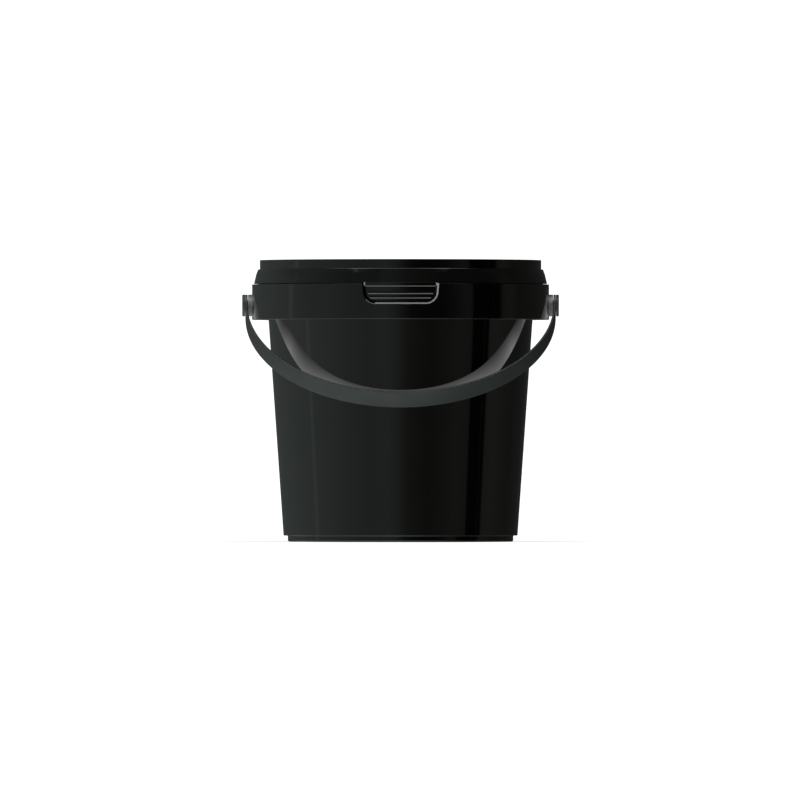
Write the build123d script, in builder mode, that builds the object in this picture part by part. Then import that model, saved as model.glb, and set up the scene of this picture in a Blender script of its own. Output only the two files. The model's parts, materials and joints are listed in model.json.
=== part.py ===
from build123d import *
import os
from math import cos, radians, sin, tan

# A small round pail with a strap handle and a press-on lid, in millimetres.
# The origin is on the pail's axis, at the surface it stands on. +Z is up, and the lid's tab and the
# hanging handle are at the front, towards -Y.

os.makedirs("parts", exist_ok=True)

# --- driving dimensions: body of the bucket ---
draft = 3.98                    # slope of the wall, degrees from vertical
wall = 1.0                      # thickness of the tapered wall
floor_thickness = 1.3
foot_height = 2.7               # height of the ring foot that the pail stands on
foot_radius = 50.5
foot_width = 2.6
base_radius = 52.4              # outside of the wall just above the foot
gate_radius = 4.0               # shallow dish around the moulding gate, under the floor
gate_depth = 0.4
floor_rounding = 2.0            # inside, where the floor meets the wall
foot_rounding = 0.8
foot_inner_rounding = 0.4
edge_rounding = 0.3             # plain moulded edges of the bucket and the lid

# --- driving dimensions: rim and collar ---
rim_top = 124.4                 # top edge of the bucket's wall, inside the lid
rim_bead_height = 1.8
rim_bead_radius = 61.5
rim_rounding = 0.6              # top of the bead, which guides the lid on
rim_bead_rounding = 0.4         # underside of the bead
ledge_height = 115.1            # top face of the collar, which the lid's skirt covers
collar_radius = 66.5
collar_bottom = 99.3
collar_wall = 1.1
web_thickness = 1.0
rib_thickness = 0.8
rib_bottom = 103.3
rib_count = 24
rib_free_angle = 20.0           # no ribs this near the tab, degrees each side of the front

# --- driving dimensions: lid ---
lid_top = 126.0
band_radius = 63.0              # upright stacking band round the top of the lid
band_bottom = 121.8
skirt_top_radius = 63.8
skirt_bottom_radius = 65.65
skirt_bottom = 115.4
lid_wall = 1.2
lid_seat_gap = 0.1              # between the bucket's rim and the channel that covers it
panel_top = 120.4               # top face of the recessed panel
plug_radius = 58.9              # outside of the wall that plugs into the bucket
snap_ring_radius = 61.6         # inside of the ring that grips under the rim's bead
snap_ring_height = 120.4
snap_ring_width = 1.6
locating_ring_radius = 51.3     # inside of the low ring that centres the foot of a pail stacked on top
locating_ring_width = 1.2
locating_ring_height = 1.0
plug_rounding = 0.6             # both ends of the plug wall
skirt_rounding = 0.5            # where the skirt leaves the band

# --- driving dimensions: lift tab and its notch in the collar ---
notch_bottom = 106.0
notch_top = 116.0
notch_half_width_bottom = 16.4
notch_half_width_top = 17.2
notch_corner = 5.5
notch_back = 62.0               # how far from the axis the notch stops, in front of the wall
notch_chamfer = 0.75
tab_gap = 0.6                   # between the tab and the narrow edge of the notch
tab_inner_radius = 65.1
tab_outer_radius = 66.0
tab_hinge_height = 114.1        # fold line of the living hinge
tab_hinge_gap = 0.05
ridge_height = 0.4              # how far the tab's grip ridges stand out
ridge_ramp = 1.4
ridge_undercut = 0.25
ridge_levels = (110.45, 108.5)
strap_bottom = 114.15           # lower edge of the strap of skirt that the tab hangs from
strap_outer_radius = 65.45
strap_inner_radius = 64.5
strap_slot = 0.7                # slot at each end of the living hinge

# --- driving dimensions: handle, its ears and studs ---
pivot_height = 105.7
boss_radius = 4.9
boss_face = 68.3                # outer face of each ear boss, from the middle of the pail
handle_thickness = 1.0
handle_width = 8.4
handle_inner_radius = 68.5
handle_leg = 3.8                # straight length from the pivot to the hoop
handle_rest_angle = 35.4        # how far the hanging handle is below level
eye_radius = 4.9
shank_radius = 2.45
stud_hole_radius = 2.5
eye_hole_radius = 2.53
stud_face = 70.9                # outer face of the stud's head
stud_head_thickness = 1.3
stud_head_rounding = 0.5
barb_radius = 3.1
barb_tip_radius = 2.1
barb_start = 65.1
barb_end = 63.2


def outer_radius(height):
    """Outside radius of the tapered wall at a height."""
    return base_radius + (height - foot_height) * tan(radians(draft))


def inner_radius(height):
    """Inside radius of the tapered wall at a height."""
    return outer_radius(height) - wall


def skirt_radius(height):
    """Outside radius of the lid's sloped skirt at a height."""
    share = (band_bottom - height) / (band_bottom - skirt_bottom)
    return skirt_top_radius + share * (skirt_bottom_radius - skirt_top_radius)


def corner_at(profile, radius, height):
    """The corner of a half-section nearest a radius and a height."""
    return profile.vertices().sort_by_distance((radius, height, 0))[0]


def notch_outline(inset):
    """Outline of the notch for the tab, shrunk by inset, seen from the front."""
    with BuildSketch(Plane.XZ.offset(notch_back)) as outline:
        with BuildLine():
            Polyline(
                (-notch_half_width_bottom, notch_bottom),
                (notch_half_width_bottom, notch_bottom),
                (notch_half_width_top, notch_top),
                (-notch_half_width_top, notch_top),
                close=True,
            )
        make_face()
        fillet(outline.vertices().group_by(Axis.Y)[0], radius=notch_corner)
        if inset > 0:
            offset(amount=-inset, kind=Kind.INTERSECTION, mode=Mode.REPLACE)
    return outline.sketch


# --- bucket: floor, wall, rim and collar in one moulding ---
floor_top = foot_height + floor_thickness
web_bottom = ledge_height - web_thickness
bead_bottom = rim_top - rim_bead_height
collar_inside = collar_radius - collar_wall
cut_clearance = 3.0             # how far a cut runs past the collar
cut_depth = collar_radius - notch_back + cut_clearance

with BuildPart() as bucket:
    with BuildSketch(Plane.XZ) as section:
        with BuildLine():
            Polyline(
                (0, floor_top),
                (inner_radius(floor_top), floor_top),
                (inner_radius(rim_top), rim_top),
                (rim_bead_radius, rim_top),
                (rim_bead_radius, bead_bottom),
                (outer_radius(bead_bottom), bead_bottom),
                (outer_radius(ledge_height), ledge_height),
                (collar_radius, ledge_height),
                (collar_radius, collar_bottom),
                (collar_inside, collar_bottom),
                (collar_inside, web_bottom),
                (outer_radius(web_bottom), web_bottom),
                (base_radius, foot_height),
                (foot_radius, foot_height),
                (foot_radius, 0),
                (foot_radius - foot_width, 0),
                (foot_radius - foot_width, foot_height),
                (gate_radius, foot_height),
                (gate_radius, foot_height + gate_depth),
                (0, foot_height + gate_depth),
                close=True,
            )
        make_face()
        fillet(corner_at(section, inner_radius(floor_top), floor_top), radius=floor_rounding)
        fillet(corner_at(section, rim_bead_radius, rim_top), radius=rim_rounding)
        fillet(corner_at(section, rim_bead_radius, bead_bottom), radius=rim_bead_rounding)
        fillet(corner_at(section, collar_radius, collar_bottom), radius=edge_rounding)
        fillet(corner_at(section, base_radius, foot_height), radius=edge_rounding)
        fillet(corner_at(section, foot_radius, 0), radius=foot_rounding)
        fillet(corner_at(section, foot_radius - foot_width, 0), radius=foot_inner_rounding)
    revolve(axis=Axis.Z)

    # Upright ribs between the wall and the collar, left out behind the tab.
    rib_length = collar_inside - inner_radius(rib_bottom)
    for index in range(rib_count):
        angle = (index + 0.5) * 360 / rib_count
        if abs(angle - 270) < rib_free_angle:
            continue
        middle = (inner_radius(rib_bottom) + wall / 2 + collar_inside + collar_wall / 2) / 2
        spot = (middle * cos(radians(angle)), middle * sin(radians(angle)))
        with BuildSketch(Plane.XY.offset(rib_bottom)):
            with Locations(Location(spot, angle)):
                Rectangle(rib_length, rib_thickness)
        extrude(amount=web_bottom - rib_bottom)

    # Ear bosses on the collar, each with the hole that its stud presses into.
    for side in (-1, 1):
        with BuildSketch(Plane.YZ.offset(side * collar_inside)):
            with Locations((0, pivot_height)):
                Circle(boss_radius)
        extrude(amount=side * (boss_face - collar_inside))
        with BuildSketch(Plane.YZ.offset(side * barb_end)):
            with Locations((0, pivot_height)):
                Circle(stud_hole_radius)
        extrude(amount=side * (boss_face - barb_end), mode=Mode.SUBTRACT)

    # Notch for the lid's tab, with a bevelled edge.
    extrude(notch_outline(notch_chamfer), amount=cut_depth, mode=Mode.SUBTRACT)
    notch_edges = bucket.edges().filter_by(
        lambda edge: edge.center().Y < 0
        and abs(edge.center().X) < notch_half_width_top
        and notch_bottom < edge.center().Z < ledge_height
        and Vector(edge.center().X, edge.center().Y).length > collar_radius - collar_wall / 2
    )
    chamfer(notch_edges, length=notch_chamfer)
bucket.part.label = "bucket"
export_step(bucket.part, "parts/bucket.step")

# --- lid: panel, plug wall, channel, stacking band and skirt ---
panel_bottom = panel_top - lid_wall
plug_inside = plug_radius - lid_wall

with BuildPart() as lid:
    with BuildSketch(Plane.XZ) as section:
        with BuildLine():
            Polyline(
                (0, panel_top),
                (locating_ring_radius, panel_top),
                (locating_ring_radius, panel_top + locating_ring_height),
                (locating_ring_radius + locating_ring_width, panel_top + locating_ring_height),
                (locating_ring_radius + locating_ring_width, panel_top),
                (plug_inside, panel_top),
                (plug_inside, lid_top),
                (band_radius, lid_top),
                (band_radius, band_bottom),
                (skirt_top_radius, band_bottom),
                (skirt_bottom_radius, skirt_bottom),
                (strap_outer_radius, skirt_bottom),
                (strap_outer_radius, strap_bottom),
                (strap_inner_radius, strap_bottom),
                (strap_inner_radius, skirt_bottom),
                (skirt_radius(snap_ring_height - snap_ring_width) - lid_wall,
                 snap_ring_height - snap_ring_width),
                (snap_ring_radius, snap_ring_height - snap_ring_width / 2),
                (snap_ring_radius, snap_ring_height),
                (band_radius - lid_wall, band_bottom),
                (band_radius - lid_wall, rim_top + lid_seat_gap),
                (plug_radius, rim_top + lid_seat_gap),
                (plug_radius, panel_bottom),
                (0, panel_bottom),
                close=True,
            )
        make_face()
        fillet(corner_at(section, band_radius, lid_top), radius=edge_rounding)
        fillet(corner_at(section, plug_inside, lid_top), radius=plug_rounding)
        fillet(corner_at(section, skirt_top_radius, band_bottom), radius=skirt_rounding)
        fillet(corner_at(section, plug_radius, panel_bottom), radius=plug_rounding)
    revolve(axis=Axis.Z)

    # The skirt's front strap carries the tab. Beside it the skirt is cut back to its bottom edge,
    # and a slot at each end of the strap reaches a little higher.
    strap_half_width = notch_half_width_top - notch_chamfer - strap_slot
    slot_middle = strap_half_width + strap_slot / 2
    with BuildSketch(Plane.XY.offset(strap_bottom)):
        Circle(collar_radius)
        Rectangle(2 * strap_half_width, collar_radius, align=(Align.CENTER, Align.MAX), mode=Mode.SUBTRACT)
    extrude(amount=skirt_bottom - strap_bottom, mode=Mode.SUBTRACT)
    with BuildSketch(Plane.XZ.offset(notch_back)):
        with Locations((-slot_middle, strap_bottom), (slot_middle, strap_bottom)):
            Rectangle(strap_slot, notch_top - strap_bottom, align=(Align.CENTER, Align.MIN))
    extrude(amount=cut_depth, mode=Mode.SUBTRACT)
lid.part.label = "lid"
export_step(lid.part, "parts/lid.step")

# --- lift tab: a curved plate with two grip ridges, as wide as the notch lets it be ---
tab_top = tab_hinge_height - tab_hinge_gap
tab_bottom = notch_bottom + notch_chamfer + tab_gap

with BuildPart() as lid_pull_tab:
    with BuildSketch(Plane.XZ):
        with BuildLine():
            Polyline(
                (tab_inner_radius, tab_bottom),
                (tab_outer_radius, tab_bottom),
                *[
                    (tab_outer_radius + step_out, level + step_up)
                    for level in reversed(ridge_levels)
                    for step_out, step_up in (
                        (0, -ridge_undercut),
                        (ridge_height, 0),
                        (0, ridge_ramp),
                    )
                ],
                (tab_outer_radius, tab_top),
                (tab_inner_radius, tab_top),
                close=True,
            )
        make_face()
    revolve(axis=Axis.Z)
    extrude(notch_outline(notch_chamfer + tab_gap), amount=cut_depth, mode=Mode.INTERSECT)
lid_pull_tab.part.label = "lid_pull_tab"
export_step(lid_pull_tab.part, "parts/lid_pull_tab.step")

# --- handle: a flat strap bent to a hoop, hanging in front of the bucket ---
handle_outer_radius = handle_inner_radius + handle_thickness
handle_middle_radius = handle_inner_radius + handle_thickness / 2
handle_plane = Plane(
    origin=(0, 0, pivot_height),
    x_dir=(1, 0, 0),
    z_dir=(0, -sin(radians(handle_rest_angle)), cos(radians(handle_rest_angle))),
)

with BuildPart() as handle:
    with BuildSketch(handle_plane.offset(-handle_width / 2)):
        with Locations((0, -handle_leg)):
            Circle(handle_outer_radius)
            Circle(handle_inner_radius, mode=Mode.SUBTRACT)
            Rectangle(
                2 * handle_outer_radius,
                handle_outer_radius,
                align=(Align.CENTER, Align.MAX),
                mode=Mode.INTERSECT,
            )
        with Locations((-handle_middle_radius, 0), (handle_middle_radius, 0)):
            Rectangle(handle_thickness, handle_leg, align=(Align.CENTER, Align.MAX))
    extrude(amount=handle_width)
    for start in (-handle_outer_radius, handle_inner_radius):
        with BuildSketch(Plane.YZ.offset(start)):
            with Locations((0, pivot_height)):
                Circle(eye_radius)
        extrude(amount=handle_thickness)
    with BuildSketch(Plane.YZ.offset(-handle_outer_radius)):
        with Locations((0, pivot_height)):
            Circle(eye_hole_radius)
    extrude(amount=2 * handle_outer_radius, mode=Mode.SUBTRACT)
handle.part.label = "handle"
export_step(handle.part, "parts/handle.step")

# --- studs: head, shank and barb, turned about the handle's pivot line ---
for side_name, side in (("left", -1), ("right", 1)):
    with BuildPart() as stud:
        with BuildSketch(Plane(origin=(0, 0, pivot_height), x_dir=(side, 0, 0), z_dir=(0, -side, 0))):
            with BuildLine():
                Polyline(
                    (barb_end, 0),
                    (barb_end, barb_tip_radius),
                    (barb_start, barb_radius),
                    (barb_start, shank_radius),
                    (stud_face - stud_head_thickness, shank_radius),
                    (stud_face - stud_head_thickness, boss_radius),
                    (stud_face - stud_head_rounding, boss_radius),
                    (stud_face, boss_radius - stud_head_rounding),
                    (stud_face, 0),
                    close=True,
                )
            make_face()
        revolve(axis=Axis(origin=(0, 0, pivot_height), direction=(1, 0, 0)))
    stud.part.label = f"handle_stud_{side_name}"
    export_step(stud.part, f"parts/handle_stud_{side_name}.step")
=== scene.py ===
import json
from math import atan2, ceil, cos, degrees, hypot, pi, radians, sin, sqrt, tan

import bmesh
import bpy
from mathutils import Matrix, Vector


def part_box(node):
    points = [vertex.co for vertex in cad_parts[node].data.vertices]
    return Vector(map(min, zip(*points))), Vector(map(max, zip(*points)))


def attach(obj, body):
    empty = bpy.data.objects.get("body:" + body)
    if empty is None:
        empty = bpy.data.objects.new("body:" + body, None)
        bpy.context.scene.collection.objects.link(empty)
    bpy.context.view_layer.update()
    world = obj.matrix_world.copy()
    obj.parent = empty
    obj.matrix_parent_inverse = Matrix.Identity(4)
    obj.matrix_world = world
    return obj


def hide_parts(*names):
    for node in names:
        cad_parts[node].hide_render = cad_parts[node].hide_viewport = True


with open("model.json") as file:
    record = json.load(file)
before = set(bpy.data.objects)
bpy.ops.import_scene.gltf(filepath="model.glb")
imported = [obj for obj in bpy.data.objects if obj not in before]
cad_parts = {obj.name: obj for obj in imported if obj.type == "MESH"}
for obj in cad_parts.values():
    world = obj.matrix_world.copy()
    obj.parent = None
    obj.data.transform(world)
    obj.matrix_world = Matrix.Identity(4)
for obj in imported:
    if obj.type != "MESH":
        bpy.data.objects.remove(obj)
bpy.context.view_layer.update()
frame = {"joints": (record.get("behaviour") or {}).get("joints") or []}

# ---------------------------------------------------------------------------
# Sizes, in millimetres. What the frame can give is read from it.
# ---------------------------------------------------------------------------
MM = 0.001
joints = {joint["name"]: joint for joint in frame["joints"]}

bucket_low, bucket_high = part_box("bucket")
lid_low, lid_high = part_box("lid")
_, handle_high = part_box("handle")
stud_low, stud_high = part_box("handle_stud_right")

collar_radius = -bucket_low.y / MM
rim_top = bucket_high.z / MM
lid_top = lid_high.z / MM
strap_bottom = lid_low.z / MM
pivot_height = joints["handle_swing"]["pos_m"][2] / MM
stud_face = stud_high.x / MM
stud_end = stud_low.x / MM
handle_outer_radius = handle_high.x / MM

# bucket
draft = 3.98            # slope of the wall, in degrees
wall = 1.0
floor_top = 4.0
foot_height = 2.7
foot_radius = 50.5
foot_width = 2.6
base_radius = 52.4
rim_bead_radius = 61.5
rim_bead_height = 1.8
ledge_height = 115.1
collar_bottom = 99.3
collar_wall = 1.1
web_thickness = 1.0
rib_count = 24
rib_thickness = 0.8
rib_bottom = 103.3
rib_free_angle = 20.0   # no rib stands within this many degrees of the front
boss_radius = 4.9
boss_face = 68.3
stud_hole_radius = 2.5
dish_radius = 4.0       # of the dishes round the gate marks under the foot and on the lid
foot_dish_depth = 0.4
foot_pip_radii = (1.1, 0.9)
foot_pip_setback = 0.1

# lid
band_radius = 63.0
band_bottom = 121.8
skirt_top_radius = 63.8
skirt_knee_radius = 64.6
skirt_knee_height = 119.8
skirt_bottom_radius = 65.65
skirt_bottom = 115.4
lid_wall = 1.2
panel_top = 120.4
plug_radius = 58.9
rim_clearance = 0.1
snap_ring_depth = 0.2
snap_ring_top = 1.4     # this and the next two lie below the foot of the stacking band
snap_ring_bottom = 2.2
snap_ring_foot = 3.4
snap_ring_flare = 1.2
strap_outer_radius = 65.45
strap_inner_radius = 64.5
strap_slot = 0.7
locating_ring_radius = 51.3
locating_ring_width = 1.2
locating_ring_height = 1.0
lid_dish_floor_radius = 3.6
lid_dish_depth = 0.35
lid_pip_radii = (1.2, 1.0)
lid_pip_setback = 0.15

# notch and tab
notch_bottom = 106.0
notch_top = 116.0
notch_half_width_bottom = 16.4
notch_half_width_top = 17.2
notch_corner = 5.5
notch_back = 62.0
notch_chamfer = 0.75
tab_gap = 0.6
tab_inner_radius = 65.1
tab_outer_radius = 66.0
tab_top = 114.05
tab_top_bevel = 0.22
tab_edge = 0.12
ridge_height = 0.4
ridge_ramp = 1.4
ridge_undercut = 0.25
ridge_levels = (110.45, 108.5)
ridge_end = 0.8

# handle and studs
handle_thickness = 1.0
handle_width = 8.4
handle_leg = 3.8
handle_rest_angle = 35.4
handle_edge = 0.3
eye_radius = 4.9
eye_hole_radius = 2.53
eye_swell = 0.02        # how much thicker the eye is than the strap, on each face
shank_radius = 2.45
stud_head_thickness = 1.3
stud_head_rounding = 0.45
stud_dimple_radii = (2.2, 1.9)
stud_dimple_depth = 0.3
barb_start = 65.1
barb_radius = 3.1
barb_tip_radius = 2.1

# fineness of the meshes
PAIL_SEGMENTS = 360
EAR_SEGMENTS = 96
HOLE_SEGMENTS = 64
HANDLE_BENDS = 200
SHARP_ANGLE = 32.0      # edges that turn by more degrees than this stay sharp


# ---------------------------------------------------------------------------
# Mesh tools
# ---------------------------------------------------------------------------
def rounded(corners):
    """Points along an open outline of (across, up, rounding) corners, each rounded as an arc.

    A support point stands just outside each arc, so that shading stays flat on the flats."""
    support = 0.12
    longest_share = 0.45        # of a side, that the arc at one of its ends may use up
    degrees_per_step = 15
    points = []
    last = len(corners) - 1
    for index, (across, up, rounding) in enumerate(corners):
        here = Vector((across, up))
        if index in (0, last) or rounding <= 0:
            points.append(here)
            continue
        before = Vector(corners[index - 1][:2]) - here
        after = Vector(corners[index + 1][:2]) - here
        half = before.angle(after) / 2
        longest = longest_share * min(before.length, after.length)
        reach = min(rounding / tan(half), longest)
        rounding = reach * tan(half)
        bisector = (before.normalized() + after.normalized()).normalized()
        centre = here + bisector * (rounding / sin(half))
        start = here + before.normalized() * reach
        end = here + after.normalized() * reach
        steps = max(2, ceil(degrees(pi - 2 * half) / degrees_per_step))
        if before.length > reach + 2 * support:
            points.append(here + before.normalized() * (reach + support))
        first_arm = start - centre
        turn = first_arm.angle_signed(end - centre)
        for step in range(steps + 1):
            arm = first_arm.copy()
            arm.rotate(Matrix.Rotation(-turn * step / steps, 2))
            points.append(centre + arm)
        if after.length > reach + 2 * support:
            points.append(here + after.normalized() * (reach + support))
    return points


def smooth(piece):
    """Smooth shading, with the sharp edges kept sharp."""
    piece.data.shade_smooth()
    piece.data.set_sharp_from_angle(angle=radians(SHARP_ANGLE))


def linked(name, bm):
    """A mesh object in the scene, made of a bmesh, which is used up."""
    mesh = bpy.data.meshes.new(name)
    bm.to_mesh(mesh)
    bm.free()
    piece = bpy.data.objects.new(name, mesh)
    bpy.context.scene.collection.objects.link(piece)
    return piece


def new_piece(name, bm):
    """A smooth mesh object, made of a bmesh in millimetres."""
    bmesh.ops.scale(bm, vec=(MM, MM, MM), verts=bm.verts)
    bmesh.ops.recalc_face_normals(bm, faces=bm.faces)
    piece = linked(name, bm)
    smooth(piece)
    return piece


def circle(radius, height, count):
    """Points round Z at one height."""
    angles = [2 * pi * k / count for k in range(count)]
    return [(radius * cos(angle), radius * sin(angle), height) for angle in angles]


def lathe(name, outline, segments=PAIL_SEGMENTS, place=Matrix()):
    """A body turned about Z from (radius, height) points, the first and last of them on the axis."""
    bm = bmesh.new()
    rings = []
    for radius, height in outline:
        places = circle(radius, height, segments) if radius > 0 else [(0, 0, height)]
        rings.append([bm.verts.new(corner) for corner in places])
    for lower, upper in zip(rings, rings[1:]):
        for k in range(segments):
            after = (k + 1) % segments
            if len(lower) == 1:
                bm.faces.new((lower[0], upper[k], upper[after]))
            elif len(upper) == 1:
                bm.faces.new((lower[k], upper[0], lower[after]))
            else:
                bm.faces.new((lower[k], upper[k], upper[after], lower[after]))
    bmesh.ops.transform(bm, matrix=place, verts=bm.verts)
    return new_piece(name, bm)


def loft(name, rings):
    """A tube of quads through rings of equally many points, with its ends closed."""
    bm = bmesh.new()
    made = [[bm.verts.new(point) for point in ring] for ring in rings]
    count = len(made[0])
    for lower, upper in zip(made, made[1:]):
        for k in range(count):
            after = (k + 1) % count
            bm.faces.new((lower[k], lower[after], upper[after], upper[k]))
    bm.faces.new(made[0])
    bm.faces.new(made[-1])
    return new_piece(name, bm)


def block(name, low, high, place=Matrix()):
    """A box between two corners, used as a rib, a web or a cutter."""
    bm = bmesh.new()
    bmesh.ops.create_cube(bm, size=1.0)
    size = Vector(high) - Vector(low)
    middle = (Vector(high) + Vector(low)) / 2
    bmesh.ops.scale(bm, vec=size, verts=bm.verts)
    bmesh.ops.translate(bm, vec=middle, verts=bm.verts)
    bmesh.ops.transform(bm, matrix=place, verts=bm.verts)
    return new_piece(name, bm)


def discard(piece):
    """Removes a helper object and its mesh."""
    mesh = piece.data
    bpy.data.objects.remove(piece)
    bpy.data.meshes.remove(mesh)


def merged(name, pieces):
    """Several separate meshes as one object."""
    bm = bmesh.new()
    for piece in pieces:
        bm.from_mesh(piece.data)
        discard(piece)
    return linked(name, bm)


def drop_slivers(mesh):
    """Closes up the edges and faces of no size that a cut leaves behind."""
    smallest = 0.001 * MM
    bm = bmesh.new()
    bm.from_mesh(mesh)
    bmesh.ops.remove_doubles(bm, verts=bm.verts, dist=smallest)
    bmesh.ops.dissolve_degenerate(bm, edges=bm.edges, dist=smallest)
    bm.to_mesh(mesh)
    bm.free()


def combine(piece, other, operation):
    """Joins another mesh to a piece, or cuts it out. The other mesh is used up."""
    modifier = piece.modifiers.new("combine", "BOOLEAN")
    modifier.operation = operation
    modifier.solver = "EXACT"
    modifier.object = other
    modifier.material_mode = "TRANSFER"
    bpy.context.view_layer.update()
    evaluated = piece.evaluated_get(bpy.context.evaluated_depsgraph_get())
    made = bpy.data.meshes.new_from_object(evaluated)
    old = piece.data
    piece.modifiers.clear()
    piece.data = made
    made.name = old.name
    bpy.data.meshes.remove(old)
    discard(other)
    drop_slivers(made)
    smooth(piece)


def outline_spans(outline, inner_limit):
    """The spans of a turned outline beyond a radius.

    Each is its two ends, its own normal and the smoothed normals at its ends."""
    ends_of_spans = [(Vector(start), Vector(end)) for start, end in zip(outline, outline[1:])]
    directions = [(end - start).normalized() for start, end in ends_of_spans]
    normals = [Vector((-along.y, along.x)) for along in directions]
    last = len(normals) - 1
    spans = []
    for index, (start, end) in enumerate(ends_of_spans):
        normal = normals[index]
        smoothed = []
        for other in (normals[max(index - 1, 0)], normals[min(index + 1, last)]):
            blends = normal.dot(other) > cos(radians(SHARP_ANGLE))
            smoothed.append((normal + other).normalized() if blends else normal)
        if min(start.x, end.x) > inner_limit:
            spans.append((start, end, normal, *smoothed))
    return spans


def lies_on(span, places, facing):
    """How far along a span each place is, or None if the span hasn't turned the face."""
    farthest = 0.006            # off the span
    overrun = 0.01              # past an end, as a share of the span
    least_agreement = 0.95      # of the face's normal with the span's
    start, end, normal = span[:3]
    if facing.dot(normal) < least_agreement:
        return None
    if any(abs((place - start).dot(normal)) > farthest for place in places):
        return None
    along = end - start
    shares = [(place - start).dot(along) / along.length_squared for place in places]
    if min(shares) < -overrun or max(shares) > 1 + overrun:
        return None
    return shares


def follow_outline(piece, outline, inner_limit):
    """Gives the turned faces their outline's normals, so that cuts don't show in reflections."""
    spans = outline_spans(outline, inner_limit)
    mesh = piece.data
    normals = [Vector((0, 0, 0))] * len(mesh.loops)
    for polygon in mesh.polygons:
        corners = [mesh.vertices[index].co / MM for index in polygon.vertices]
        places = [Vector((hypot(corner.x, corner.y), corner.z)) for corner in corners]
        if min(place.x for place in places) < inner_limit:
            continue
        outward = Vector((polygon.center.x, polygon.center.y)).normalized()
        facing = Vector((outward.dot(polygon.normal.xy), polygon.normal.z))
        for span in spans:
            shares = lies_on(span, places, facing)
            if shares is None:
                continue
            for loop, corner, share in zip(polygon.loop_indices, corners, shares):
                blend = span[3].lerp(span[4], share)
                radial = corner.xy.normalized() * blend.x
                normals[loop] = Vector((radial.x, radial.y, blend.y)).normalized()
            break
    mesh.normals_split_custom_set(normals)


# ---------------------------------------------------------------------------
# Shapes that several pieces share
# ---------------------------------------------------------------------------
def outer_radius(height):
    """Outside radius of the tapered wall."""
    return base_radius + (height - foot_height) * tan(radians(draft))


def inner_radius(height):
    """Inside radius of the tapered wall."""
    return outer_radius(height) - wall


side_lean = atan2(notch_half_width_top - notch_half_width_bottom, notch_top - notch_bottom)
corner_height = notch_bottom + notch_corner
corner_middle = (
    notch_half_width_bottom
    + (corner_height - notch_bottom) * tan(side_lean)
    - notch_corner / cos(side_lean)
)


def notch_outline(inset, top):
    """The notch's U, shrunk by inset, as (across, height) points from left top to right top."""
    steps = 12                  # along half of the bottom, and round each corner
    radius = notch_corner - inset
    bottom = corner_height - radius
    right = [(corner_middle * step / steps, bottom) for step in range(1, steps)]
    for step in range(steps + 1):
        angle = -pi / 2 + (pi / 2 - side_lean) * step / steps
        right.append((corner_middle + radius * cos(angle), corner_height + radius * sin(angle)))
    across, height = right[-1]
    right.append((across + (top - height) * tan(side_lean), top))
    return [(-x, z) for x, z in reversed(right)] + [(0, bottom)] + right


def notch_half_width(height, inset):
    """Half the width of the notch, shrunk by inset, at a height."""
    radius = notch_corner - inset
    arc_end = corner_height - radius * sin(side_lean)
    if height < arc_end:
        drop = corner_height - height
        return corner_middle + sqrt(max(radius * radius - drop * drop, 0))
    side_foot = corner_middle + radius * cos(side_lean)
    return side_foot + (height - arc_end) * tan(side_lean)


def wrapped(outline, radius):
    """Outline points laid on the front of an upright cylinder."""
    return [(x, -sqrt(radius * radius - x * x), z) for x, z in outline]


# ---------------------------------------------------------------------------
# Materials
# ---------------------------------------------------------------------------
def add_node(tree, kind, **settings):
    """A shader node with its properties and its input values set by name."""
    node = tree.nodes.new(kind)
    for key, value in settings.items():
        if hasattr(node, key):
            setattr(node, key, value)
        else:
            node.inputs[key.replace("_", " ")].default_value = value
    return node


def calculate(tree, operation, *values, clamp=False):
    """The result of a sum, whose values are sockets or plain numbers."""
    node = add_node(tree, "ShaderNodeMath", operation=operation, use_clamp=clamp)
    for socket, value in zip(node.inputs, values):
        if isinstance(value, bpy.types.NodeSocket):
            tree.links.new(value, socket)
        else:
            socket.default_value = value
    return node.outputs["Value"]


def remap(tree, value, span, result=(0.0, 1.0), interpolation="SMOOTHSTEP"):
    """A value's span turned into another span, and held beyond its ends."""
    node = add_node(tree, "ShaderNodeMapRange", interpolation_type=interpolation)
    for name, number in zip(("From Min", "From Max", "To Min", "To Max"), (*span, *result)):
        node.inputs[name].default_value = number
    tree.links.new(value, node.inputs["Value"])
    return node.outputs["Result"]


def noise(tree, place, scale, detail, roughness):
    """The level of a noise texture at each place."""
    node = add_node(tree, "ShaderNodeTexNoise", Scale=scale, Detail=detail, Roughness=roughness)
    tree.links.new(place, node.inputs["Vector"])
    return node.outputs["Fac"]


def mixed_shader(tree, factor, first, second):
    """The first shader where the factor is 0, and the second where it is 1."""
    node = tree.nodes.new("ShaderNodeMixShader")
    for socket, source in zip(node.inputs, (factor, first, second)):
        tree.links.new(source, socket)
    return node.outputs["Shader"]


def mixed_colour(tree, factor, first, second):
    """The first colour where the factor is 0, and the second where it is 1."""
    node = tree.nodes.new("ShaderNodeMix")
    node.data_type = "RGBA"
    tree.links.new(factor, node.inputs["Factor"])
    colours = [socket for socket in node.inputs if socket.type == "RGBA"]
    for socket, source in zip(colours, (first, second)):
        tree.links.new(source, socket)
    return next(socket for socket in node.outputs if socket.type == "RGBA")


MIDDLE_LEVELS = (0.3, 0.7)      # between which most of a noise texture lies
PEAK_LEVELS = (0.66, 0.74)      # which only its peaks pass
PLASTIC_IOR = 1.49


def hairlines(tree, place, depth):
    """Fine scuffs, long sideways and thin upwards, as an addition to the roughness."""
    stretch = tree.nodes.new("ShaderNodeMapping")
    stretch.inputs["Scale"].default_value = (60.0, 60.0, 2200.0)
    stretch.inputs["Rotation"].default_value = (0.25, 0.12, 0.0)
    tree.links.new(place, stretch.inputs["Vector"])
    lines = noise(tree, stretch.outputs["Vector"], scale=1.0, detail=2.0, roughness=0.5)
    return remap(tree, lines, PEAK_LEVELS, (0.0, depth), "LINEAR")


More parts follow.
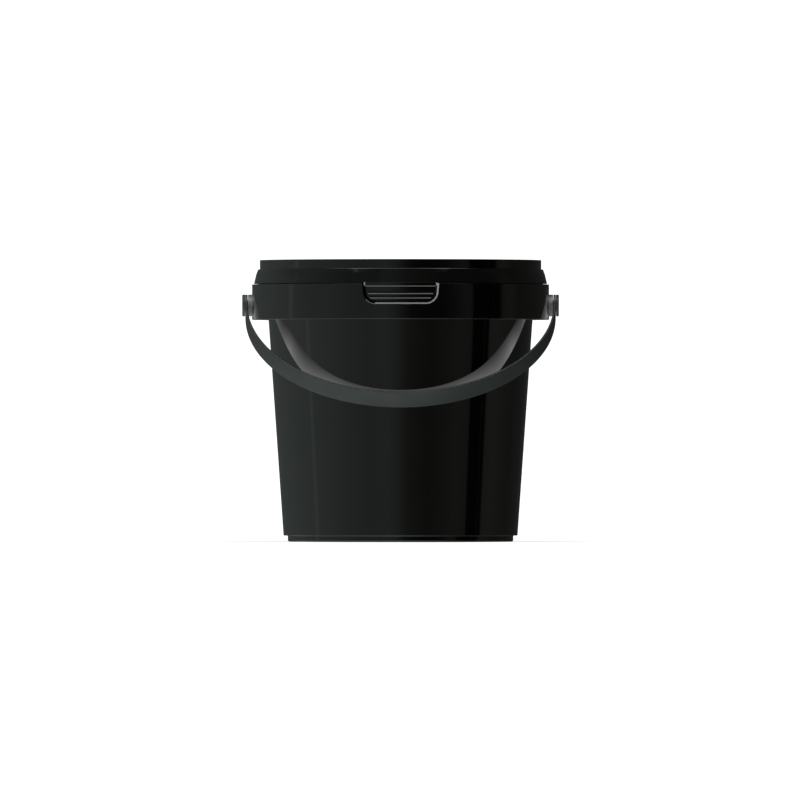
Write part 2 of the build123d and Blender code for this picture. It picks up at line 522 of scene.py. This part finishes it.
def moulded_plastic(name, dark, light, gloss, gloss_spread, grain, grain_depth, scuffs, shine=0.5):
    """Moulded plastic: a faint drift of colour, uneven gloss, a fine skin and hairline scuffs.

    gloss is the roughness, grain the number of grains per metre, grain_depth their height in
    metres, and shine the strength of the reflection, which is 0.5 for plain plastic."""
    material = bpy.data.materials.new(name)
    material.use_nodes = True
    tree = material.node_tree
    tree.nodes.clear()
    output = tree.nodes.new("ShaderNodeOutputMaterial")
    shader = add_node(tree, "ShaderNodeBsdfPrincipled", IOR=PLASTIC_IOR)
    shader.inputs["Specular IOR Level"].default_value = shine
    tree.links.new(shader.outputs["BSDF"], output.inputs["Surface"])
    place = tree.nodes.new("ShaderNodeTexCoord").outputs["Object"]

    drift = noise(tree, place, scale=35.0, detail=3.0, roughness=0.55)
    colour = tree.nodes.new("ShaderNodeValToRGB")
    for element, level, shade in zip(colour.color_ramp.elements, MIDDLE_LEVELS, (dark, light)):
        element.position = level
        element.color = (*shade, 1)
    tree.links.new(drift, colour.inputs["Fac"])
    tree.links.new(colour.outputs["Color"], shader.inputs["Base Color"])

    wear = noise(tree, place, scale=90.0, detail=4.0, roughness=0.6)
    spread = (gloss - gloss_spread, gloss + gloss_spread)
    uneven = remap(tree, wear, MIDDLE_LEVELS, spread, "LINEAR")
    rough = calculate(tree, "ADD", uneven, hairlines(tree, place, scuffs), clamp=True)
    tree.links.new(rough, shader.inputs["Roughness"])

    skin = noise(tree, place, scale=grain, detail=2.0, roughness=0.5)
    bump = add_node(tree, "ShaderNodeBump", Strength=1.0, Distance=grain_depth)
    tree.links.new(skin, bump.inputs["Height"])
    tree.links.new(bump.outputs["Normal"], shader.inputs["Normal"])
    return material


gloss_black = moulded_plastic(
    "gloss_black",
    dark=(0.0012, 0.0015, 0.0014),
    light=(0.0022, 0.0026, 0.0024),
    gloss=0.055,
    gloss_spread=0.02,
    grain=420.0,
    grain_depth=0.0000012,
    scuffs=0.05,
)
lid_black = moulded_plastic(
    "lid_black",
    dark=(0.0013, 0.0016, 0.0015),
    light=(0.0024, 0.0028, 0.0026),
    gloss=0.065,
    gloss_spread=0.02,
    grain=420.0,
    grain_depth=0.0000012,
    scuffs=0.06,
)
strap_black = moulded_plastic(
    "strap_black",
    dark=(0.024, 0.0265, 0.0258),
    light=(0.031, 0.0338, 0.033),
    gloss=0.5,
    gloss_spread=0.05,
    grain=1500.0,
    grain_depth=0.00003,
    scuffs=0.08,
)
stud_black = moulded_plastic(
    "stud_black",
    dark=(0.10, 0.108, 0.106),
    light=(0.13, 0.14, 0.137),
    gloss=0.45,
    gloss_spread=0.05,
    grain=1200.0,
    grain_depth=0.00001,
    scuffs=0.08,
    shine=0.15,
)
# Pale grey that stands in for light: a painted highlight on the notch's bevel, the ear bosses and
# the hinge's webs.
painted_highlight = moulded_plastic(
    "painted_highlight",
    dark=(0.64, 0.60, 0.605),
    light=(0.76, 0.71, 0.72),
    gloss=0.45,
    gloss_spread=0.06,
    grain=2500.0,
    grain_depth=0.00001,
    scuffs=0.1,
)


def paint(piece, *materials):
    """Gives a mesh its material slots. Its faces keep their slot numbers."""
    for material in materials:
        piece.data.materials.append(material)
    return piece


def brighten_reflection(material, low_up, high_up, at_middle, at_sides):
    """Makes the strap's mirror image in the glossy wall pale, most at its lower edge and middle.

    Only the reflection is pale: seen directly, the strap is as dark as its material says."""
    upper_edge_share = 0.25
    middle_to_sides = (32 * MM, 58 * MM)
    sides_to_eyes = (62 * MM, 68 * MM)
    eye_share = 0.3
    tree = material.node_tree
    shader = next(node for node in tree.nodes if node.type == "BSDF_PRINCIPLED")
    place = tree.nodes.new("ShaderNodeTexCoord").outputs["Object"]

    lean = radians(handle_rest_angle)
    widthways = add_node(tree, "ShaderNodeVectorMath", operation="DOT_PRODUCT")
    widthways.inputs[1].default_value = (0, -sin(lean), cos(lean))
    tree.links.new(place, widthways.inputs[0])
    span = (low_up * MM, high_up * MM)
    fade = remap(tree, widthways.outputs["Value"], span, (1.0, upper_edge_share), "LINEAR")

    split = tree.nodes.new("ShaderNodeSeparateXYZ")
    tree.links.new(place, split.inputs["Vector"])
    across = calculate(tree, "ABSOLUTE", split.outputs["X"])
    strength = remap(tree, across, middle_to_sides, (at_middle, at_sides))
    legs = remap(tree, across, sides_to_eyes, (1.0, eye_share))

    in_mirror = tree.nodes.new("ShaderNodeLightPath").outputs["Is Glossy Ray"]
    glow = calculate(tree, "MULTIPLY", fade, strength)
    glow = calculate(tree, "MULTIPLY", glow, legs)
    glow = calculate(tree, "MULTIPLY", in_mirror, glow)
    tree.links.new(glow, shader.inputs["Emission Strength"])
    shader.inputs["Emission Color"].default_value = (1, 1, 1, 1)


def dress(piece, slot, body, *nodes):
    """Hangs a finished piece on its body and hides the CAD nodes that it stands for."""
    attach(piece, body)
    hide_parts(*nodes)


# ---------------------------------------------------------------------------
# Bucket
# ---------------------------------------------------------------------------
def bucket_outline():
    """Half-section of the bucket, from the middle of the floor's top, over the rim, to the foot."""
    collar_inside = collar_radius - collar_wall
    web_bottom = ledge_height - web_thickness
    bead_bottom = rim_top - rim_bead_height
    foot_inside = foot_radius - foot_width
    dish_top = foot_height + foot_dish_depth
    pip_wide, pip_narrow = foot_pip_radii
    pip_end = foot_height + foot_pip_setback
    return rounded(
        [
            (0, floor_top, 0),
            (inner_radius(floor_top), floor_top, 2.0),
            (inner_radius(rim_top), rim_top, 0.3),
            (rim_bead_radius, rim_top, 0.6),
            (rim_bead_radius, bead_bottom, 0.4),
            (outer_radius(bead_bottom), bead_bottom, 0.2),
            (outer_radius(ledge_height), ledge_height, 0.3),
            (collar_radius, ledge_height, 0.04),
            (collar_radius, collar_bottom, 0.3),
            (collar_inside, collar_bottom, 0.2),
            (collar_inside, web_bottom, 0.4),
            (outer_radius(web_bottom), web_bottom, 0.4),
            (base_radius, foot_height, 0.35),
            (foot_radius, foot_height, 0.25),
            (foot_radius, 0, 0.8),
            (foot_inside, 0, 0.4),
            (foot_inside, foot_height, 0.4),
            (dish_radius, foot_height, 0.15),
            (dish_radius, dish_top, 0.15),
            (pip_wide, dish_top, 0.1),
            (pip_narrow, pip_end, 0.1),
            (0, pip_end, 0),
        ]
    )


def collar_ribs():
    """The upright ribs under the collar, left out behind the tab."""
    ribs = []
    inside = outer_radius(rib_bottom) - wall / 2
    outside = collar_radius - collar_wall / 2
    top = ledge_height - web_thickness / 2
    front = 270
    for index in range(rib_count):
        angle = (index + 0.5) * 360 / rib_count
        if abs(angle - front) < rib_free_angle:
            continue
        ribs.append(
            block(
                f"rib_{index}",
                (inside, -rib_thickness / 2, rib_bottom),
                (outside, rib_thickness / 2, top),
                Matrix.Rotation(radians(angle), 4, "Z"),
            )
        )
    return merged("ribs", ribs)


def sideways(side):
    """Turns a body made about Z so that its axis lies along X at the height of the pivots."""
    turn = Matrix.Rotation(side * pi / 2, 4, "Y")
    return Matrix.Translation((0, 0, pivot_height)) @ turn


def ear_boss(side):
    """Round boss that stands out from the collar behind the handle's eye, painted pale grey: a
    painted highlight for the light it would catch from below.
    """
    inside = collar_radius - collar_wall / 2
    outline = rounded(
        [
            (0, inside, 0),
            (boss_radius, inside, 0),
            (boss_radius, boss_face, 0.25),
            (0, boss_face, 0),
        ]
    )
    return paint(lathe(f"boss_{side}", outline, EAR_SEGMENTS, sideways(side)), painted_highlight)


def round_cutter(name, radius, start, end, side):
    """A plain rod along X, used to cut a hole."""
    outline = [(0, start), (radius, start), (radius, end), (0, end)]
    return lathe(name, outline, HOLE_SEGMENTS, sideways(side))


def notch_cutter():
    """What the notch for the tab takes out of the collar, with a bevel.

    The bevel is painted pale along the bottom and up the right side, a painted highlight as though
    lit from the upper left; its left side stays black, in shade."""
    top = ledge_height + 4      # well past the ledge
    overrun = 0.6               # by which the bevel's slope goes on outside the collar
    bevel_foot = 0.1            # straight stretch behind the bevel
    foot_drop, foot_inset = 0.05, 0.03
    rings = [[(x, -notch_back, z) for x, z in notch_outline(notch_chamfer, top)]]
    for depth, inset in (
        (notch_chamfer + bevel_foot, notch_chamfer),
        (notch_chamfer - foot_drop, notch_chamfer - foot_inset),
        (0.0, 0.0),
        (-overrun, -overrun),
    ):
        rings.append(wrapped(notch_outline(inset, top), collar_radius - depth))
    rings.append([(x, -collar_radius - 2, z) for x, z in notch_outline(-overrun, top)])
    cutter = paint(loft("notch_cutter", rings), gloss_black, painted_highlight)

    inner = collar_radius - notch_chamfer - 0.06
    outer = collar_radius + 1
    vertices = cutter.data.vertices
    for polygon in cutter.data.polygons:
        reaches = [hypot(*vertices[index].co.xy) / MM for index in polygon.vertices]
        on_bevel = len(reaches) == 4 and inner < min(reaches) and max(reaches) < outer
        # Only the bottom and the right of the bevel get the painted highlight.
        if on_bevel and polygon.center.x / MM > -corner_middle:
            polygon.material_index = 1
    return cutter


def make_bucket():
    outline = bucket_outline()
    # The second slot carries the painted highlight of the notch's bevel and the ear bosses.
    bucket = paint(lathe("bucket_moulding", outline), gloss_black, painted_highlight)
    combine(bucket, collar_ribs(), "UNION")
    hole_start, hole_end = stud_end - 0.5, boss_face + 1    # past the collar and the boss
    for side in (-1, 1):
        combine(bucket, ear_boss(side), "UNION")
        hole = round_cutter("stud_hole", stud_hole_radius, hole_start, hole_end, side)
        combine(bucket, hole, "DIFFERENCE")
    combine(bucket, notch_cutter(), "DIFFERENCE")
    follow_outline(bucket, outline, collar_radius - 3 * collar_wall)
    dress(bucket, "bucket_plastic", "bucket", "bucket")


# ---------------------------------------------------------------------------
# Lid and tab
# ---------------------------------------------------------------------------
def lid_outline():
    """Half-section of the lid: the panel, over the channel, round the skirt and back underneath."""
    plug_inside = plug_radius - lid_wall
    band_inside = band_radius - lid_wall
    ring_outside = locating_ring_radius + locating_ring_width
    ring_top = panel_top + locating_ring_height
    panel_bottom = panel_top - lid_wall
    dish_bottom = panel_top - lid_dish_depth
    pip_wide, pip_narrow = lid_pip_radii
    pip_end = panel_top - lid_pip_setback
    snap_radius = band_inside - snap_ring_depth
    channel_top = rim_top + rim_clearance
    return rounded(
        [
            (0, pip_end, 0),
            (pip_narrow, pip_end, 0.1),
            (pip_wide, dish_bottom, 0.1),
            (lid_dish_floor_radius, dish_bottom, 0.3),
            (dish_radius, panel_top, 0.3),
            (locating_ring_radius, panel_top, 0.3),
            (locating_ring_radius, ring_top, 0.3),
            (ring_outside, ring_top, 0.3),
            (ring_outside, panel_top, 0.3),
            (plug_inside, panel_top, 0.8),
            (plug_inside, lid_top, 0.6),
            (band_radius, lid_top, 0.25),
            (band_radius, band_bottom, 0.15),
            (skirt_top_radius, band_bottom, 0.03),
            (skirt_knee_radius, skirt_knee_height, 4.0),
            (skirt_bottom_radius, skirt_bottom, 0.3),
            (strap_outer_radius, skirt_bottom, 0),
            (strap_outer_radius, strap_bottom, 0),
            (strap_inner_radius, strap_bottom, 0),
            (strap_inner_radius, skirt_bottom, 0),
            (band_inside + snap_ring_flare, band_bottom - snap_ring_foot, 0.3),
            (snap_radius, band_bottom - snap_ring_bottom, 0.3),
            (snap_radius, band_bottom - snap_ring_top, 0.3),
            (band_inside, band_bottom, 0.3),
            (band_inside, channel_top, 0.4),
            (plug_radius, channel_top, 0.4),
            (plug_radius, panel_bottom, 0.6),
            (0, panel_bottom, 0),
        ]
    )


def bridge(side, middle):
    """Web of plastic across the slot at one end of the living hinge, painted pale grey as a painted
    highlight.
    """
    overlap = 0.05              # into the strap at either end of the web
    depth_inside = 0.1          # under the strap's front and back
    clear_below, overlap_above = 0.05, 0.15
    half = strap_slot / 2 + overlap
    front = sqrt((strap_outer_radius - depth_inside) ** 2 - middle ** 2)
    back = sqrt((strap_inner_radius + depth_inside) ** 2 - middle ** 2)
    low = (middle - half, -front, strap_bottom + clear_below)
    high = (middle + half, -back, skirt_bottom + overlap_above)
    return paint(block(f"bridge_{side}", low, high), painted_highlight)


def make_lid():
    outline = lid_outline()
    # The second slot carries the painted highlight of the hinge's webs.
    lid = paint(lathe("lid_moulding", outline), lid_black, painted_highlight)
    slot_inside = notch_half_width_top - notch_chamfer - strap_slot
    slot_outside = slot_inside + strap_slot
    beyond = 70                 # past the lid's edge
    front = 55                  # everything behind this is cut away under the skirt
    bottom = strap_bottom - 1
    for name, low, high in (
        ("behind", (-beyond, -front), (beyond, beyond)),
        ("left", (-beyond, -beyond), (-slot_inside, -front)),
        ("right", (slot_inside, -beyond), (beyond, -front)),
    ):
        combine(lid, block(name, (*low, bottom), (*high, skirt_bottom)), "DIFFERENCE")
    for side in (-1, 1):
        left, right = sorted((side * slot_inside, side * slot_outside))
        slot = block("slot", (left, -beyond, bottom), (right, -notch_back, notch_top))
        combine(lid, slot, "DIFFERENCE")
    for side in (-1, 1):
        combine(lid, bridge(side, side * (slot_inside + strap_slot / 2)), "UNION")
    follow_outline(lid, outline, band_radius - 0.5)
    dress(lid, "lid_plastic", "lid", "lid")


def tab_section(bottom):
    """(height, radius, ridge) down the tab's front: ridge is how far a grip ridge stands out."""
    steps = 6                   # up each ridge's ramp
    shoulder_share = 0.8        # of the ridge's height, half way down its undercut
    bevel_radius = tab_outer_radius - tab_top_bevel
    points = [(tab_top, bevel_radius, 0), (tab_top - tab_top_bevel, tab_outer_radius, 0)]
    for level in ridge_levels:
        for step in range(steps + 1):
            share = step / steps
            height = level + ridge_ramp * (1 - share)
            points.append((height, tab_outer_radius, ridge_height * share ** 2))
        below_crest = level - ridge_undercut / 2
        points.append((below_crest, tab_outer_radius, ridge_height * shoulder_share))
        points.append((level - ridge_undercut, tab_outer_radius, 0))
    points.append((bottom + tab_edge, tab_outer_radius, 0))
    points.append((bottom, tab_outer_radius - tab_edge, 0))
    return points


def filled(section):
    """A section with points put in, so that no two are further apart in height than a row."""
    tallest_row = 0.4
    points = []
    for here, after in zip(section, section[1:]):
        rows = max(1, ceil((here[0] - after[0]) / tallest_row))
        for k in range(rows):
            share = k / rows
            points.append(tuple(a + (b - a) * share for a, b in zip(here, after)))
    return points + [section[-1]]


def stations_across(half):
    """Places from side to side of the tab, closer at its edges, where the ridges run out."""
    count = 40
    edge = [0, tab_edge, ridge_end / 2, ridge_end, 1.5 * ridge_end]
    inner = half - edge[-1]
    middle = [inner * (2 * k / count - 1) for k in range(1, count)]
    return [place - half for place in edge] + middle + [half - place for place in reversed(edge)]


def make_tab():
    inset = notch_chamfer + tab_gap
    bm = bmesh.new()
    front_rows, back_rows = [], []
    for height, radius, ridge in filled(tab_section(notch_bottom + inset)):
        half = notch_half_width(height, inset)
        front, back = [], []
        for x in stations_across(half):
            inward = half - abs(x)
            run_out = min(max((inward - ridge_end / 2) / (ridge_end / 2), 0), 1)
            edge_drop = tab_edge * (1 - min(inward / tab_edge, 1)) ** 2
            out = radius - edge_drop + ridge * run_out
            front.append(bm.verts.new((x, -sqrt(out * out - x * x), height)))
            back.append(bm.verts.new((x, -sqrt(tab_inner_radius ** 2 - x * x), height)))
        front_rows.append(front)
        back_rows.append(back)

    last = len(front_rows[0]) - 1
    for rows in (front_rows, back_rows):
        for upper, lower in zip(rows, rows[1:]):
            for k in range(last):
                bm.faces.new((upper[k], upper[k + 1], lower[k + 1], lower[k]))
    for row in (0, -1):
        front, back = front_rows[row], back_rows[row]
        for k in range(last):
            bm.faces.new((front[k], front[k + 1], back[k + 1], back[k]))
    for k in (0, last):
        edge = [(front[k], back[k]) for front, back in zip(front_rows, back_rows)]
        for (front, back), (next_front, next_back) in zip(edge, edge[1:]):
            bm.faces.new((front, next_front, next_back, back))
    tab = paint(new_piece("lid_pull_tab_plate", bm), lid_black)
    dress(tab, "lid_plastic", "tab", "lid_pull_tab")


# ---------------------------------------------------------------------------
# Handle and studs
# ---------------------------------------------------------------------------
pivot_up = pivot_height * cos(radians(handle_rest_angle))
brighten_reflection(
    strap_black,
    low_up=pivot_up - handle_width / 2,
    high_up=pivot_up + handle_width / 2,
    at_middle=5.0,
    at_sides=2.2,
)


def handle_point(across, along, up):
    """A point of the handle's own plane: across, along away from the pivots, up its width."""
    lean = radians(handle_rest_angle)
    away = Vector((0, -cos(lean), -sin(lean)))
    widthways = Vector((0, -sin(lean), cos(lean)))
    return Vector((across, 0, pivot_height)) + away * along + widthways * up


def strap_section():
    """Rounded-rectangle section of the strap, as (out, up) points."""
    steps = 4                   # round each corner
    out_middle = handle_thickness / 2 - handle_edge
    up_middle = handle_width / 2 - handle_edge
    points = []
    for out_side, up_side, start in ((1, 1, 0), (-1, 1, 90), (-1, -1, 180), (1, -1, 270)):
        for step in range(steps + 1):
            angle = radians(start + 90 * step / steps)
            out = out_side * out_middle + handle_edge * cos(angle)
            up = up_side * up_middle + handle_edge * sin(angle)
            points.append((out, up))
    return points


def strap_stations():
    """(across, along) places up one leg, round the hoop and down the other.

    Each also has its outward direction, as (side, ahead)."""
    middle_radius = handle_outer_radius - handle_thickness / 2
    left = [(-middle_radius, along, -1.0, 0.0) for along in (0.0, handle_leg / 2)]
    right = [(middle_radius, along, 1.0, 0.0) for along in (handle_leg / 2, 0.0)]
    hoop = []
    for step in range(HANDLE_BENDS + 1):
        angle = pi * step / HANDLE_BENDS
        side, ahead = -cos(angle), sin(angle)
        hoop.append((middle_radius * side, handle_leg + middle_radius * ahead, side, ahead))
    return left + hoop + right


def make_handle():
    rings = [
        [handle_point(across + out * side, along + out * ahead, up) for out, up in strap_section()]
        for across, along, side, ahead in strap_stations()
    ]
    handle = paint(loft("handle_strap", rings), strap_black)
    inner = handle_outer_radius - handle_thickness - eye_swell
    outer = handle_outer_radius + eye_swell
    corners = [(0, inner, 0), (eye_radius, inner, 0.25), (eye_radius, outer, 0.25), (0, outer, 0)]
    for side in (-1, 1):
        combine(handle, lathe("eye", rounded(corners), EAR_SEGMENTS, sideways(side)), "UNION")
        hole = round_cutter("eye_hole", eye_hole_radius, inner - 1, outer + 1, side)
        combine(handle, hole, "DIFFERENCE")
    dress(handle, "handle_plastic", "handle", "handle")


def make_stud(side, side_name):
    head_inside = stud_face - stud_head_thickness
    dimple_wide, dimple_narrow = stud_dimple_radii
    dimple_floor = stud_face - stud_dimple_depth
    outline = rounded(
        [
            (0, stud_end, 0),
            (barb_tip_radius, stud_end, 0.3),
            (barb_radius, barb_start, 0.15),
            (shank_radius, barb_start, 0),
            (shank_radius, head_inside, 0),
            (boss_radius, head_inside, 0.15),
            (boss_radius, stud_face, stud_head_rounding),
            (dimple_wide, stud_face, 0.3),
            (dimple_narrow, dimple_floor, 0.3),
            (0, dimple_floor, 0),
        ]
    )
    turned = lathe(f"stud_{side_name}", outline, EAR_SEGMENTS, sideways(side))
    stud = paint(turned, stud_black)
    dress(stud, "stud_plastic", "bucket", f"handle_stud_{side_name}")


make_bucket()
make_lid()
make_tab()
make_handle()
for stud_side, stud_name in ((-1, "left"), (1, "right")):
    make_stud(stud_side, stud_name)


# ---------------------------------------------------------------------------
# Stage, light and camera
# ---------------------------------------------------------------------------
def make_floor():
    """A plain white floor: a faint shade round the bucket, and an even white further out.

    From below it is clear, so that the foot can be seen."""
    reach = 40.0
    shade_edges = (0.055, 0.14)         # distance from the bucket's axis
    glow_levels = (0.75, 1.1)
    corners = [(-reach, -reach, 0), (reach, -reach, 0), (reach, reach, 0), (-reach, reach, 0)]
    mesh = bpy.data.meshes.new("floor")
    mesh.from_pydata(corners, [], [(0, 1, 2, 3)])
    floor = bpy.data.objects.new("floor", mesh)
    bpy.context.scene.collection.objects.link(floor)
    material = bpy.data.materials.new("white_floor")
    material.use_nodes = True
    tree = material.node_tree
    shader = tree.nodes["Principled BSDF"]
    shader.inputs["Base Color"].default_value = (0.85, 0.85, 0.85, 1)
    shader.inputs["Roughness"].default_value = 0.9
    shader.inputs["Specular IOR Level"].default_value = 0.0
    shader.inputs["Emission Color"].default_value = (1, 1, 1, 1)
    place = tree.nodes.new("ShaderNodeTexCoord").outputs["Object"]
    distance = add_node(tree, "ShaderNodeVectorMath", operation="LENGTH")
    tree.links.new(place, distance.inputs[0])
    glow = remap(tree, distance.outputs["Value"], shade_edges, glow_levels)
    tree.links.new(glow, shader.inputs["Emission Strength"])

    from_below = tree.nodes.new("ShaderNodeNewGeometry").outputs["Backfacing"]
    clear = tree.nodes.new("ShaderNodeBsdfTransparent").outputs["BSDF"]
    surface = mixed_shader(tree, from_below, shader.outputs["BSDF"], clear)
    tree.links.new(surface, tree.nodes["Material Output"].inputs["Surface"])
    mesh.materials.append(material)
    floor.visible_glossy = False
    floor.visible_diffuse = False
    floor.visible_shadow = False


def sky_ramp(tree, compass, stops):
    """Studio brightness round the compass, from 0 towards the camera. Left is negative."""
    ramp = tree.nodes.new("ShaderNodeValToRGB")
    ramp.color_ramp.interpolation = "LINEAR"
    elements = ramp.color_ramp.elements
    while len(elements) > 1:
        elements.remove(elements[-1])
    for index, (angle, level, tint) in enumerate(stops):
        position = (angle + 180) / 360
        element = elements[0] if index == 0 else elements.new(position)
        element.position = position
        element.color = (*[level * part for part in tint], 1)
    tree.links.new(compass, ramp.inputs["Fac"])
    return ramp.outputs["Color"]


cool = (0.88, 1.0, 0.97)
olive = (0.95, 1.0, 0.86)
grey = (1.0, 1.0, 1.0)

# The soft boxes as they stand round the set, each stop as (compass angle, brightness, tint).
# At eye level, which the collar and the lid mirror.
level_light = [
    (-180, 0.08, cool),
    (-160, 0.10, cool),
    (-137, 0.20, cool),
    (-117, 0.34, cool),
    (-98, 0.42, cool),
    (-96, 0.58, cool),
    (-94, 0.58, cool),
    (-92, 0.42, cool),
    (-60, 0.40, cool),
    (-30, 0.29, cool),
    (-12, 0.33, cool),
    (-4, 0.24, cool),
    (3, 0.10, olive),
    (9, 0.04, olive),
    (18, 0.02, olive),
    (33, 0.02, olive),
    (41, 0.05, olive),
    (52, 0.11, olive),
    (57.5, 0.11, olive),
    (58.5, 0.0, grey),
    (76, 0.0, grey),
    (77, 0.03, olive),
    (78, 0.0, grey),
    (83, 0.0, grey),
    (88, 0.12, olive),
    (95, 0.13, olive),
    (104, 0.07, olive),
    (128, 0.05, olive),
    (150, 0.04, cool),
]
# A little lower, which the tapered wall mirrors.
low_light = [
    (-180, 0.06, cool),
    (-159, 0.08, cool),
    (-134, 0.24, cool),
    (-117, 0.35, cool),
    (-100, 0.45, cool),
    (-92.5, 0.48, cool),
    (-91, 0.62, cool),
    (-89, 0.62, cool),
    (-87.5, 0.48, cool),
    (-70, 0.47, cool),
    (-50, 0.40, cool),
    (-30, 0.33, cool),
    (-12, 0.35, cool),
    (-2, 0.25, cool),
    (5, 0.15, olive),
    (14, 0.11, olive),
    (27, 0.085, olive),
    (43, 0.12, olive),
    (52, 0.155, olive),
    (66, 0.13, olive),
    (67, 0.0, grey),
    (79.5, 0.0, grey),
    (80.3, 0.04, olive),
    (81, 0.0, grey),
    (84, 0.0, grey),
    (86, 0.16, olive),
    (97, 0.15, olive),
    (109, 0.10, olive),
    (123, 0.06, olive),
    (150, 0.035, cool),
]
# Higher up.
upper_light = [
    (-180, 0.08, cool),
    (-120, 0.26, cool),
    (-80, 0.30, cool),
    (-40, 0.17, cool),
    (-20, 0.15, cool),
    (-15, 0.21, cool),
    (-6, 0.19, cool),
    (4, 0.12, olive),
    (20, 0.085, olive),
    (40, 0.05, olive),
    (75, 0.05, olive),
    (88, 0.075, olive),
    (105, 0.055, olive),
    (150, 0.05, olive),
]
# The bright floor, which lights the undersides.
ground_light = [
    (-180, 0.4, cool),
    (-100, 0.8, cool),
    (-45, 1.2, cool),
    (0, 1.3, cool),
    (35, 0.9, cool),
    (70, 0.25, cool),
    (140, 0.15, cool),
]


def make_studio():
    """Large soft boxes round the set: bright on the left, dim on the right, one black flag."""
    low_edges = (-0.02, -0.07)          # each pair is a direction's height, from -1 to 1
    upper_edges = (0.12, 0.42)
    ground_edges = (-0.2, -0.45)
    backdrop_strength = 1.2
    world = bpy.data.worlds.new("studio")
    bpy.context.scene.world = world
    world.use_nodes = True
    tree = world.node_tree
    tree.nodes.clear()
    direction = tree.nodes.new("ShaderNodeSeparateXYZ")
    place = tree.nodes.new("ShaderNodeTexCoord").outputs["Generated"]
    tree.links.new(place, direction.inputs["Vector"])
    height = direction.outputs["Z"]
    ahead = calculate(tree, "MULTIPLY", direction.outputs["Y"], -1.0)
    angle = calculate(tree, "ARCTAN2", direction.outputs["X"], ahead)
    compass = remap(tree, angle, (-pi, pi), interpolation="LINEAR")

    light = sky_ramp(tree, compass, level_light)
    for edges, stops in (
        (low_edges, low_light),
        (upper_edges, upper_light),
        (ground_edges, ground_light),
    ):
        share = remap(tree, height, edges)
        light = mixed_colour(tree, share, light, sky_ramp(tree, compass, stops))

    lit = tree.nodes.new("ShaderNodeBackground")
    tree.links.new(light, lit.inputs["Color"])
    white = add_node(
        tree, "ShaderNodeBackground", Color=(1, 1, 1, 1), Strength=backdrop_strength
    )
    seen = tree.nodes.new("ShaderNodeLightPath").outputs["Is Camera Ray"]
    surface = mixed_shader(tree, seen, lit.outputs["Background"], white.outputs["Background"])
    output = tree.nodes.new("ShaderNodeOutputWorld")
    tree.links.new(surface, output.inputs["Surface"])


def add_softbox(name, place, width, height, radiance):
    """A level area light of a given brightness, which shows only in reflections."""
    light = bpy.data.lights.new(name, "AREA")
    light.shape = "RECTANGLE"
    light.size, light.size_y = width, height
    light.energy = radiance * pi * width * height
    holder = bpy.data.objects.new(name, light)
    bpy.context.scene.collection.objects.link(holder)
    holder.location = place
    holder.visible_diffuse = False


def make_camera():
    """A long lens, held level straight in front of the bucket, below the middle of its height."""
    distance = 9.0
    view_width = 0.3582
    view_height = 0.0634                # height of the middle of the picture
    camera_height = 0.045
    camera_side = -0.00025
    data = bpy.data.cameras.new("camera")
    data.sensor_width = 36.0
    data.lens = data.sensor_width * distance / view_width
    camera = bpy.data.objects.new("camera", data)
    bpy.context.scene.collection.objects.link(camera)
    data.shift_y = (view_height - camera_height) / view_width
    camera.location = (camera_side, -distance, camera_height)
    camera.rotation_euler = (radians(90), 0, 0)
    bpy.context.scene.camera = camera


bpy.context.scene.view_settings.view_transform = "Standard"
make_floor()
make_studio()
add_softbox("top_light", place=(0, -0.5, 1.4), width=2.0, height=1.2, radiance=3.6)
make_camera()
